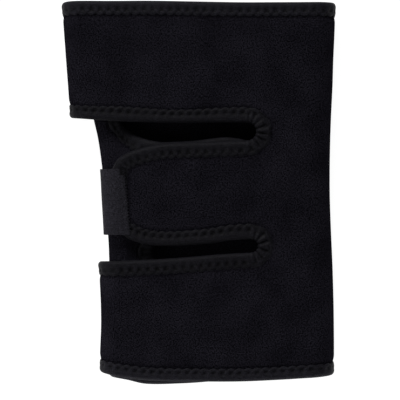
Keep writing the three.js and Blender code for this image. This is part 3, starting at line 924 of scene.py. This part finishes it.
@dataclass(frozen=True)
class EdgeTape:
    """Tape folded over an edge of the sheet and sewn through with a zigzag."""

    step: float = 0.55
    width: float = 10.3
    roll: float = 6.4
    near: float = 1.42
    top: float = 2.3
    face_drop: float = 0.14
    puffs: tuple[Pair, ...] = ((0.22, 0.74), (0.3, 0.26))
    puff_width: float = 0.14
    rim_drop: float = 0.35
    rim_slope: Pair = (0.86, 1.01)
    tuck: float = 0.3
    nose_centre: float = 2.3
    nose_reach: float = 3.4
    nose_points: int = 13
    lining_points: int = 5
    lining_gap: float = 0.4
    pitch: float = 6.5
    hole_near: float = 6.3
    hole_far: float = 10.0
    dimple: float = 0.8
    dimple_long: float = 1.3
    dimple_wide: float = 1.55
    notch: float = 0.5
    notch_width: float = 0.8
    crease: float = 0.2
    crease_width: float = 0.7
    uneven: tuple[float, ...] = (0.8, 0.25, 17.0, 6.1, 1.0)
    thread_sink: float = 0.28
    scallop: float = 0.45
    roll_wave: tuple[float, ...] = (0.06, 3.7, 0.6, 11.0)
    roll_slope: Pair = (3.0, 6.0)
    gather: float = 2.1
    gather_puff: float = 1.0
    gather_pitch: float = 3.1
    gather_start: float = 0.53
    gather_drift: Triple = (0.1, 0.52, 1.3)
    gather_swing: tuple[float, ...] = (0.75, 0.35, 0.3, -1.05)
    gather_sharpness: float = 1.3
    gather_slope: Pair = (5.5, 9.5)
    gather_fill: float = 0.35
    swell: float = 0.55
    swell_level: float = 0.65
    bend_points: int = 3
    bend_least: float = 0.02
    bend_span: float = 0.08
    bend_window: int = 17
    end_taper: float = 1.6
    taper_run: Pair = (55.0, 82.0)
    pinches: tuple[tuple[float, ...], ...] = ((16.0, 52.0, 24.0, 2.0), (18.0, -38.5, 26.0, 0.8))
    pinch_across: float = 4.0
    leg: tuple[float, ...] = (1.0, 0.985, 0.94, 0.88, 0.81, 0.74, 0.67, 0.6, 0.53, 0.46, 0.39, 0.31)

    def reach(self, path: Array) -> Array:
        """Find the tape's width, which narrows on the strap ends and at pinches.

        Args:
            path: the edge of the cloth.

        Returns:
            The width at each of its points.
        """
        p, y = path.T
        width = self.width - self.end_taper * ease(p, *self.taper_run)
        for at, across, spread, loss in self.pinches:
            width = width - loss * bell(p - at, spread) * bell(y - across, self.pinch_across)
        return width

    def height(self, deep: Array) -> Array:
        """Height of the tape's outer face over the middle of the cloth, before it is sewn down."""
        share = deep / self.width
        puff = sum(high * bell(share - at, self.puff_width) for high, at in self.puffs)
        return self.top - self.face_drop + puff - self.rim_drop * ease(share, *self.rim_slope)

    def folds(self, s: Array) -> Array:
        """Crests of the gathers along the tape: 1 on a crest, 0 in a crease."""
        drift, rate, phase = self.gather_drift
        turn = s / self.gather_pitch + self.gather_start + drift * np.sin(s * rate + phase)
        return np.abs(np.cos(math.pi * turn))

    def sunk(self, s: Array, deep: Array, gathers: Array) -> Array:
        """How deep sewing pulls the tape in.

        Args:
            s: places along the tape.
            deep: distances from the edge of the cloth.
            gathers: how much the tape is gathered there, 0 to 1.

        Returns:
            Depths in millimetres.
        """
        phase = s / self.pitch
        near_away = (phase - np.round(phase)) * self.pitch
        far_away = (phase - 0.5 - np.round(phase - 0.5)) * self.pitch
        hole = bell(near_away, self.dimple_long) * bell(deep - self.hole_near, self.dimple_wide)
        notch = bell(far_away, self.notch_width) * bell(deep - self.hole_far, self.notch_width)
        line = between(self.hole_near, self.hole_far, 2 * np.abs(phase - np.round(phase)))
        drawn = self.crease * bell(deep - line, self.crease_width)
        level, swing, rate, start = self.gather_swing
        crease = self.gather * (1 - self.folds(s)) ** self.gather_sharpness - self.gather_puff
        pleat = (gathers * crease * (level + swing * np.sin(rate * s + start))
                 * (1 - ease(deep, *self.gather_slope)))
        level, swing, slow, quick, start = self.uneven
        pull = level + swing * np.sin(s / slow) * np.sin(s / quick + start)
        dimple = self.dimple * hole * (1 - self.gather_fill * gathers)
        return pull * (dimple + self.notch * notch + drawn) + pleat

    def sewn(self, s: Array, deep: Array, out: Array, gathers: Array) -> Array:
        """Press the stitches and gathers into the tape.

        Args:
            s: places along the tape.
            deep: distances from the edge of the cloth.
            out: heights over the middle of the cloth.
            gathers: how much the tape is gathered there, 0 to 1.

        Returns:
            The new heights.
        """
        high, quick, drift, slow = self.roll_wave
        wave = high * np.sin(s / quick + drift * np.sin(s / slow)) * (1 - ease(deep, *self.roll_slope))
        depth = self.sunk(s, deep, gathers) + wave
        return out - np.sign(out) * depth * np.clip(np.abs(out) / self.top, 0, 1)

    def gathered(self, path: Array) -> Array:
        """Find how tightly the tape is gathered where its path bends round a slot's end.

        Args:
            path: the edge of the cloth.

        Returns:
            A share of 0 to 1 at each of its points.
        """
        inward, apart = left_of(path), self.bend_points
        bend = np.cross(np.roll(inward, apart, 0), np.roll(inward, -apart, 0)) / (2 * apart * self.step)
        bend[:apart + 1] = bend[-apart - 1:] = 0
        tight = np.clip((-bend - self.bend_least) / self.bend_span, 0, 1)
        window = np.hanning(self.bend_window)
        return np.convolve(tight, window / window.sum(), mode="same")

    def skin(self, path: Array) -> tuple[Array, Array]:
        """The tape's outer face as places across it, for each point of the path.

        Args:
            path: the edge of the cloth.

        Returns:
            Distances from the edge and heights over the middle of the cloth, by point and place.
        """
        s = np.arange(len(path))[:, None] * self.step
        gathers = self.gathered(path)[:, None]
        swing = np.cos(2 * math.pi * s / self.pitch)
        leg = np.array(self.leg)[None] * (self.width + self.scallop * swing)
        angle = np.linspace(0, math.pi, self.nose_points + 2)[1:-1]
        tip = (self.nose_reach - self.nose_centre) / self.nose_reach
        swell = 1 + self.swell * gathers * (self.folds(s) - self.swell_level) * tip
        nose = self.nose_centre - self.nose_reach * swell * np.sin(angle)[None]
        curl = np.broadcast_to(np.cos(angle) * self.height(np.array(self.nose_centre)), nose.shape)
        deep = np.concatenate((leg, nose, leg[:, ::-1]), axis=1)
        out = np.concatenate((self.height(leg), curl, -self.height(leg)[:, ::-1]), axis=1)
        out[:, 0] -= self.tuck
        out[:, -1] += self.tuck
        narrow = self.reach(path)[:, None] / self.width
        return np.where(deep > 0, narrow, 1) * deep, self.sewn(s, deep, out, gathers)

    def build(self, form: WrapForm, edge: Edge, finish: bpy.types.Material) -> bpy.types.Object:
        """Make the tape of one edge.

        Args:
            form: the folded sheet.
            edge: which edge it binds.
            finish: the tape's cloth.

        Returns:
            The piece.
        """
        path = form.edge_path(edge, self.step)
        inward = left_of(path)
        deep, out = self.skin(path)
        share = np.linspace(1, 0, self.lining_points)
        lining = np.concatenate((share, share[::-1])) * (self.width - self.lining_gap)
        side = np.repeat((-self.near, self.near), self.lining_points)
        ones = np.ones((len(path), 1))
        s = np.arange(len(path))[:, None] * self.step
        narrow = self.reach(path)[:, None] / self.width
        # Painted shade: the stitch dimples and the creases of the gathers are darkened in colour as
        # well as sunk.
        painted_shade = np.clip(self.sunk(s, deep / narrow, self.gathered(path)[:, None]) / self.dimple, 0, 1)
        painted_shade = np.concatenate((painted_shade, ones * np.zeros(len(lining))), axis=1)
        deep = np.concatenate((deep, narrow * lining[None]), axis=1)
        out = np.concatenate((out, ones * side[None]), axis=1)
        points = form.place(path[:, :1] + inward[:, :1] * deep, path[:, 1:] + inward[:, 1:] * deep, out)
        number = np.arange(deep.size).reshape(deep.shape)
        faces = grid_quads(np.column_stack((number, number[:, 0]))).tolist()
        faces += [number[0][::-1].tolist(), number[-1].tolist()]
        around = lengths(np.column_stack((deep[0], out[0])))[None] * ones
        uv = np.column_stack((around.ravel(), (s + 0 * around).ravel())) * MM
        return make_piece(edge.value.replace("binding", "tape"), points.reshape(-1, 3), faces, uv,
                          painted_shade.ravel(), finish)

    def stitches(self, form: WrapForm, edge: Edge) -> Threads:
        """Where the zigzag's threads lie on both faces of the tape.

        Args:
            form: the folded sheet.
            edge: which edge.

        Returns:
            The two ends of each thread and the way out of the cloth at its middle.
        """
        path = form.edge_path(edge, self.step)
        gone = np.arange(len(path)) * self.step
        half = self.pitch / 2
        s = np.arange(half, gone[-1] - half, half)
        near = np.round(s / half).astype(int) % 2 == 0
        deep = np.where(near, self.hole_near, self.hole_far)
        at, inward = (sample(line, gone, s) for line in (path, left_of(path)))
        p, y = (at + inward * (deep * self.reach(at) / self.width)[:, None]).T
        first, second, ways = [], [], []
        for side in (1, -1):
            top = side * (self.height(deep) - self.thread_sink)
            hole = form.place(p, y, top)
            first.append(hole[:-1])
            second.append(hole[1:])
            ways.append((form.place(p, y, top + side) - hole)[:-1])
        return np.concatenate(first), np.concatenate(second), np.concatenate(ways)


@dataclass(frozen=True)
class StitchRun:
    """Threads laid one by one between their holes."""

    radius: float = 0.24
    flatness: float = 0.7
    overlap: float = 1.08
    unevenness: float = 0.15
    segments: int = 8
    rings: int = 6
    seed: int = 7

    def tree(self) -> bpy.types.NodeTree:
        """Build the tree that lays a thread on every point.

        Returns:
            A geometry tree with the thread's size and material as inputs.
        """
        nodes = new_group("laid_stitches", "Geometry", {
            "Geometry": "Geometry", "Thread Radius": "Float", "Unevenness": "Float", "Seed": "Int",
            "Thread": "Material"}, {"Geometry": "Geometry"})
        given = nodes.add("NodeGroupInput").outputs
        thread = nodes.add("GeometryNodeMeshUVSphere", {
            "Segments": self.segments, "Rings": self.rings, "Radius": 1.0})
        smooth = nodes.add("GeometryNodeSetShadeSmooth", {"Geometry": thread.outputs["Mesh"]})
        size, turn = (nodes.add("GeometryNodeInputNamedAttribute", {"Name": name},
                                data_type="FLOAT_VECTOR").outputs[0] for name in ("size", "turn"))
        loose = nodes.math("ADD", 1.0, given["Unevenness"])
        tight = nodes.math("SUBTRACT", 1.0, given["Unevenness"])
        uneven = nodes.add("FunctionNodeRandomValue", {2: tight, 3: loose, "Seed": given["Seed"]},
                           data_type="FLOAT")
        thick = nodes.math("MULTIPLY", uneven.outputs[1], given["Thread Radius"])
        wide = nodes.add("ShaderNodeCombineXYZ", {0: 1.0, 1: thick, 2: thick}).outputs[0]
        scale = nodes.add("ShaderNodeVectorMath", {0: size, 1: wide}, operation="MULTIPLY")
        laid = nodes.add("GeometryNodeInstanceOnPoints", {
            "Points": given["Geometry"], "Instance": smooth.outputs[0], "Rotation": turn,
            "Scale": scale.outputs[0]})
        real = nodes.add("GeometryNodeRealizeInstances", {"Geometry": laid.outputs[0]})
        dressed = nodes.add("GeometryNodeSetMaterial", {"Geometry": real.outputs[0],
                                                        "Material": given["Thread"]})
        nodes.add("NodeGroupOutput", {"Geometry": dressed.outputs[0]})
        return nodes.tree

    def build(self, name: str, tree: bpy.types.NodeTree, laid: Threads,
              finish: bpy.types.Material) -> bpy.types.Object:
        """Lay the threads of one run.

        Args:
            name: the piece's name.
            tree: the geometry tree.
            laid: first ends, second ends and ways out of the cloth, in millimetres.
            finish: the thread.

        Returns:
            The piece, as a plain mesh.
        """
        first, second, out = laid
        mesh = bpy.data.meshes.new(name)
        mesh.from_pydata(((first + second) / 2 * MM).tolist(), [], [])
        sizes, turns = [], []
        for a, b, way in zip(first, second, out):
            along = Vector(b - a)
            side = Vector(way).cross(along).normalized()
            up = along.cross(side).normalized()
            turns.append(Matrix((along.normalized(), side, up)).transposed().to_euler("XYZ"))
            sizes.append((along.length / 2 * self.overlap * MM, 1.0, self.flatness))
        for key, values in (("size", sizes), ("turn", turns)):
            layer = mesh.attributes.new(key, "FLOAT_VECTOR", "POINT")
            layer.data.foreach_set("vector", np.array([tuple(v) for v in values], np.float32).ravel())
        piece = put(name, mesh)
        modifier = piece.modifiers.new("stitches", "NODES")
        modifier.node_group = tree
        values = {"Thread Radius": self.radius * MM, "Unevenness": self.unevenness,
                  "Seed": self.seed, "Thread": finish}
        for socket in tree.interface.items_tree:
            if socket.in_out == "INPUT" and socket.name in values:
                modifier[socket.identifier] = values[socket.name]
        ready = piece.evaluated_get(bpy.context.evaluated_depsgraph_get())
        plain = bpy.data.meshes.new_from_object(ready)
        piece.modifiers.remove(modifier)
        piece.data = plain
        plain.name = name
        spots = np.empty(len(plain.vertices) * 3, np.float32)
        plain.vertices.foreach_get("co", spots)
        lay_flat(plain, spots.reshape(-1, 3)[:, :2])
        return piece


@dataclass(frozen=True)
class HookTabs:
    """The three tabs of hook tape."""

    thick: float = 0.9
    right: Pair = (-55.0, -50.6)
    stand: Pair = (1.25, 2.8)
    lie: float = 0.28
    press_run: float = 3.0
    press_down: Pair = (0.55, 0.1)
    lip: float = 1.2
    fold_share: Pair = (0.52, 0.1)
    fold_points: int = 7
    flap: tuple[Pair, ...] = ((8.0, 18.3), (5.0, 16.6), (2.8, 14.6), (1.3, 12.0), (0.4, 8.6),
                              (0.05, 4.5))
    tall: float = 50.0
    middle_cut: float = 52.0
    sewn: float = 10.0
    free: float = 12.0
    hidden_top: float = 98.0
    hidden_bottom: float = -94.0
    floor_gap: float = 0.05
    back_gap: float = 0.6
    back_p: float = -206.0
    climb_at: Triple = (0.3, 4.2, 8.4)
    climb: Triple = (0.35, 0.7, 1.0)
    tooth: float = 0.55
    tooth_pitch: float = 2.3
    tooth_drift: Pair = (0.8, 3.1)
    sewn_slope: Pair = (9.6, 7.6)
    painted_shade_slope: Pair = (7.5, 9.5)
    lump: float = 0.16
    lump_waves: tuple[Pair, Pair] = ((2.9, 2.1), (1.7, -2.6))
    lump_drift: Pair = (0.9, 4.0)
    lump_slope: Pair = (0.3, 1.0)
    seams: tuple[tuple[float, ...], ...] = ((-1.8, 0.6, 0.75, 1.15), (-6.6, -3.4, -0.05, 1.6))
    seam_ends: Pair = (-0.8, 0.6)
    corner_count: int = 12
    corner_start: float = 0.3
    corner_pitch: float = 0.42
    corner_lie: float = 0.3
    corner_ends: tuple[Pair, Pair] = ((-4.4, 0.0), (0.5, 0.45))
    corner_sway: Pair = (0.5, 2.4)
    rim: Triple = (0.0, 0.12, 0.4)
    rim_thin: Triple = (0.35, 0.75, 0.95)
    inset: float = 1.0
    line_step: float = 0.5
    across: int = 110
    along: int = 70

    def teeth(self, y: Array) -> Array:
        """How far the stitches pull the middle tab's right edge in at y."""
        drift, length = self.tooth_drift
        turn = math.pi * y / self.tooth_pitch + drift * np.sin(y / length)
        return self.tooth * np.abs(np.sin(turn))

    def lumps(self, u: Array, y: float) -> Array:
        """Relief of a tab where it is sewn down.

        Args:
            u: distances from its sewn edge.
            y: where the line across it is.

        Returns:
            Heights over its even face.
        """
        (a, b), (c, d) = self.lump_waves
        drift, length = self.lump_drift
        slant = np.sin(a * u + b * y) * np.sin(c * u + d * y + drift * np.sin(y / length))
        inside = ease(u, *self.lump_slope) * ease(u, *self.sewn_slope)
        return self.lump * slant * inside

    def middle_line(self, form: WrapForm, tape: EdgeTape, y: float) -> Array:
        """The middle tab's line over the end of the cloth tab and round the body fold.

        Args:
            form: the folded sheet.
            tape: the edge tape that it lies on.
            y: where the line is.

        Returns:
            Points as rows of x and z.
        """
        right = float(form.slanted(self.right, y) - self.teeth(np.array(y)))
        end = float(form.slanted(form.tab_slant, y)) - form.over
        stand = form.half + float(form.slanted(self.stand, y))
        xs = np.array((right, right - self.press_run, (right + end) / 2, end + self.lip))
        zs = form.front(xs, y) + tape.top + self.lie + self.thick / 2
        zs[:2] -= self.press_down
        front = np.column_stack((xs - form.centre[0], zs))
        share = np.linspace(*self.fold_share, self.fold_points)
        low = form.place(between(form.body_bottom, form.body_top, share), y, stand)[:, (0, 2)]
        return np.concatenate((front, low[0] + np.array(self.flap), low))

    def hidden_line(self, form: WrapForm, end: float, y: float) -> Array:
        """A hidden tab's line under its strap's end and up against the back.

        Args:
            form: the folded sheet.
            end: where the strap ends along p.
            y: where the line is.

        Returns:
            Points as rows of x and z.
        """
        rest = self.thick / 2 + self.floor_gap
        xs = np.array((-self.sewn, -self.sewn / 2, *self.climb_at, self.free))
        xs += float(form.place(end, y, 0)[0])
        back = form.back(xs[3:] + form.centre[0], np.array(self.back_p), 0.0) - form.half
        under = back - self.back_gap - self.thick / 2
        climb = between(rest, np.maximum(rest, under), np.array(self.climb))
        return np.column_stack((xs, np.r_[rest, rest, rest, climb]))

    def strip(self, name: str, high: float, low: float, cy: float, line: Callable[[float], Array],
              finish: bpy.types.Material) -> bpy.types.Object:
        """Make one tab as a closed strip with soft rims.

        Args:
            name: the piece's name.
            high: its upper y.
            low: its lower y.
            cy: y of the part's middle.
            line: gives the tab's line for a y.
            finish: the hook tape.

        Returns:
            The piece.
        """
        rim, thin = np.array(self.rim), np.array(self.rim_thin)
        field = np.linspace(high - self.inset, low + self.inset, self.across)
        ys = np.r_[high - rim, field, low + rim[::-1]]
        thin_y, thin_u = (np.r_[thin, np.ones(n), thin[::-1]] for n in (self.across, self.along))
        tops, bases, flat = [], [], []
        for y, thinned in zip(ys, thin_y):
            route = resample(line(float(y)), self.line_step)
            gone = lengths(route)
            field = np.linspace(self.inset, gone[-1] - self.inset, self.along)
            at = np.r_[rim, field, gone[-1] - rim[::-1]]
            spot = sample(route, gone, at)
            out = left_of(spot)
            out *= np.sign(out[0, 1])
            half = self.thick / 2 * np.minimum(thinned, thin_u)
            for rows, sign, raised in ((tops, 1, self.lumps(at, y)), (bases, -1, 0.0)):
                x, z = (spot + sign * out * (half + raised)[:, None]).T
                rows.append(np.column_stack((x, np.full(len(at), y - cy), z)))
            flat.append(np.column_stack((at, np.full(len(at), y))))
        number = np.arange(len(ys) * len(thin_u)).reshape(len(ys), -1)
        faces = two_faced(grid_quads(number).tolist(), number.size)
        places = np.concatenate(flat + flat)
        # Painted shade over the sewn zone; the hook finish gives it no depth, so it draws nothing.
        painted_shade = 1 - ease(places[:, 0], *self.painted_shade_slope)
        return make_piece(name, np.concatenate(tops + bases), faces, places * MM, painted_shade, finish)

    def on_top(self, form: WrapForm, tape: EdgeTape, x: Array, y: Array, lift: Array) -> Array:
        """Points on the middle tab's face, lifted off it a little."""
        z = form.front(x, y) + tape.top + self.thick + lift
        return np.column_stack((x, y, z)) - form.shift

    def stitches(self, form: WrapForm, tape: EdgeTape) -> Threads:
        """Threads that sew the middle tab down: one zigzag over its right edge, one inside it.

        Args:
            form: the folded sheet.
            tape: the edge tape under it.

        Returns:
            The two ends of each thread and the way out of the cloth.
        """
        top, bottom = (y + more for y, more in zip(form.hook_range, self.seam_ends))
        firsts, seconds = [], []
        for inner, outer, drop, pitch in self.seams:
            y = np.arange(top, bottom, -pitch)
            odd = np.arange(len(y)) % 2
            x = form.slanted(self.right, y) + np.where(odd, outer, inner)
            spots = self.on_top(form, tape, x, y, self.lie - np.where(odd, drop, 0.0))
            firsts.append(spots[:-1])
            seconds.append(spots[1:])
        first, second = np.concatenate(firsts), np.concatenate(seconds)
        return first, second, np.broadcast_to((0.0, 0.0, 1.0), first.shape)

    def corner_stitches(self, form: WrapForm, tape: EdgeTape) -> Threads:
        """Close threads over the middle tab's upper right corner.

        Args:
            form: the folded sheet.
            tape: the edge tape under it.

        Returns:
            The two ends of each thread and the way out of the cloth.
        """
        number = np.arange(self.corner_count)
        y = form.hook_range[0] + self.corner_start - self.corner_pitch * number
        sway, rate = self.corner_sway
        right = form.slanted(self.right, y) + sway * np.sin(number * rate)
        first, second = (self.on_top(form, tape, right + reach, y, self.corner_lie - drop)
                         for reach, drop in self.corner_ends)
        return first, second, np.broadcast_to((0.0, 0.0, 1.0), first.shape)


@dataclass(frozen=True)
class Lamp:
    """A soft light that faces the part: its place and size in metres and its power in watts."""

    name: str
    place: Triple
    size: Pair
    power: float

    def build(self) -> None:
        """Hang the light, out of the camera's sight."""
        data = bpy.data.lights.new(self.name, "AREA")
        data.shape, data.energy = "RECTANGLE", self.power
        data.size, data.size_y = self.size
        lamp = put(self.name, data)
        lamp.visible_camera = False
        lamp.location = self.place
        lamp.rotation_euler = (-Vector(self.place)).to_track_quat("-Z", "Y").to_euler()


@dataclass(frozen=True)
class Studio:
    """The pale floor, the soft lights and the camera."""

    floor_size: float = 16.0
    floor_drop: float = 0.0002
    floor_colour: tuple = (0.2, 0.2, 0.2, 1)
    floor_glow: float = 0.96
    floor_shine: float = 0.45
    room_colour: tuple = (0.15, 0.15, 0.15, 1)
    lamps: tuple[Lamp, ...] = (Lamp("key", (-0.9, 2.75, 2.3), (1.4, 1.4), 92.0),
                               Lamp("fill", (-0.5, -0.2, 0.42), (0.3, 0.3), 0.95),
                               Lamp("card", (0.03, -0.3, 0.04), (0.5, 0.06), 0.5))
    camera_place: Triple = (0.00092, -0.00475, 1.6855)
    lens: float = 200.0
    sensor: float = 36.0
    far: float = 20.0

    def paper(self) -> bpy.types.Material:
        """Make the floor's pale paper, which glows less in reflections.

        Returns:
            The material.
        """
        made = bpy.data.materials.new("pale_paper")
        made.use_nodes = True
        nodes = Nodes(made.node_tree)
        shiny = nodes.add("ShaderNodeLightPath").outputs["Is Glossy Ray"]
        glow = nodes.math("MULTIPLY_ADD", shiny, self.floor_shine - self.floor_glow, self.floor_glow)
        nodes.feed(made.node_tree.nodes["Principled BSDF"], {
            "Base Color": self.floor_colour, "Roughness": 0.9, "Specular IOR Level": 0.1,
            "Emission Color": (1, 1, 1, 1), "Emission Strength": glow})
        return made

    def build(self) -> None:
        """Make the floor, the world, the lights and the camera."""
        half, scene = self.floor_size / 2, bpy.context.scene
        mesh = bpy.data.meshes.new("floor")
        mesh.from_pydata([(-half, -half, 0), (half, -half, 0), (half, half, 0), (-half, half, 0)],
                         [], [(0, 1, 2, 3)])
        mesh.materials.append(self.paper())
        floor = put("floor", mesh)
        floor.location.z = -self.floor_drop
        scene.world = bpy.data.worlds.new("soft_room")
        scene.world.use_nodes = True
        scene.world.node_tree.nodes["Background"].inputs[0].default_value = self.room_colour
        for lamp in self.lamps:
            lamp.build()
        lens = bpy.data.cameras.new("camera")
        lens.lens, lens.sensor_width, lens.clip_end = self.lens, self.sensor, self.far
        scene.camera = put("camera", lens)
        scene.camera.location = self.camera_place
        scene.view_settings.view_transform = "Standard"


def hand_over(piece: bpy.types.Object, slot: Slot, *nodes: str) -> None:
    """Tie a piece to the part's body.

    Args:
        piece: the piece.
        slot: its material slot; not used.
        nodes: the solids that it stands for.
    """
    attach(piece, "root")
    if nodes:
        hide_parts(*nodes)
    log.info("%s: %d faces", piece.name, len(piece.data.polygons))


def main() -> None:
    """Build the knee support and its studio."""
    logging.basicConfig(level=logging.INFO, format="%(message)s")
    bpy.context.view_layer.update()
    form, panel, run, hooks, tape = WrapForm(), WrapPanel(), StitchRun(), HookTabs(), EdgeTape()
    hem_tape = replace(tape, hole_near=5.1, end_taper=0.0)
    tapes = {Edge.TOP_HEM: replace(hem_tape, width=9.3, hole_far=8.8),
             Edge.BOTTOM_HEM: replace(hem_tape, width=8.4, hole_far=8.2),
             Edge.FRONT_SLOTS: tape,
             Edge.UNDER_SLOTS: replace(tape, dimple=0.3, notch=0.3, gather=0.5, gather_puff=0.15)}
    Studio().build()
    grain, weave = fibre_group(), weave_group()
    finishes = (PILE, TAPE, HEM_TAPE_PAINTED_LIGHTER, HOOK, THREAD)
    pile, slot_finish_painted_darker, hem_finish_painted_lighter, hook, thread = (f.build(grain, weave) for f in finishes)
    tree = run.tree()

    paths = {edge: form.edge_path(edge, panel.rim_step) for edge in Edge}
    rims = [np.column_stack((path, tapes[edge].reach(path))) for edge, path in paths.items()]
    cloth = panel.build(form, np.concatenate(rims), pile)
    hand_over(cloth, Slot.CLOTH, "wrap_panel")

    for edge, used in tapes.items():
        # Hems take the painted-lighter copy of the tape, and slot edges take the darker one.
        binding = used.build(form, edge, hem_finish_painted_lighter if edge.is_hem else slot_finish_painted_darker)
        hand_over(binding, Slot.TAPE, edge.value)
        length = len(form.edge_path(edge, used.step)) * used.step * MM
        sewing = run.build(edge.value.replace("binding", "stitches"), tree,
                           used.stitches(form, edge), thread)
        hand_over(sewing, Slot.TAPE)

    top, bottom = form.hook_range
    middle = hooks.strip("middle_hook", top, bottom, form.centre[1],
                         lambda y: hooks.middle_line(form, tape, y), hook)
    hand_over(middle, Slot.HOOK, "middle_hook_tab")
    sewing = run.build("middle_hook_stitches", tree, hooks.stitches(form, tape), hook)
    hand_over(sewing, Slot.HOOK)
    sewing = run.build("corner_stitches", tree, hooks.corner_stitches(form, tape), thread)
    hand_over(sewing, Slot.TAPE)
    for name, end, y in (("top", form.top_strap_end, hooks.hidden_top),
                         ("bottom", form.bottom_strap_end, hooks.hidden_bottom)):
        tab = hooks.strip(name + "_hook", y + hooks.tall / 2, y - hooks.tall / 2, form.centre[1],
                          lambda at, end=end: hooks.hidden_line(form, end, at), hook)
        hand_over(tab, Slot.HOOK, name + "_hook_tab")


if __name__ == "__main__":
    main()
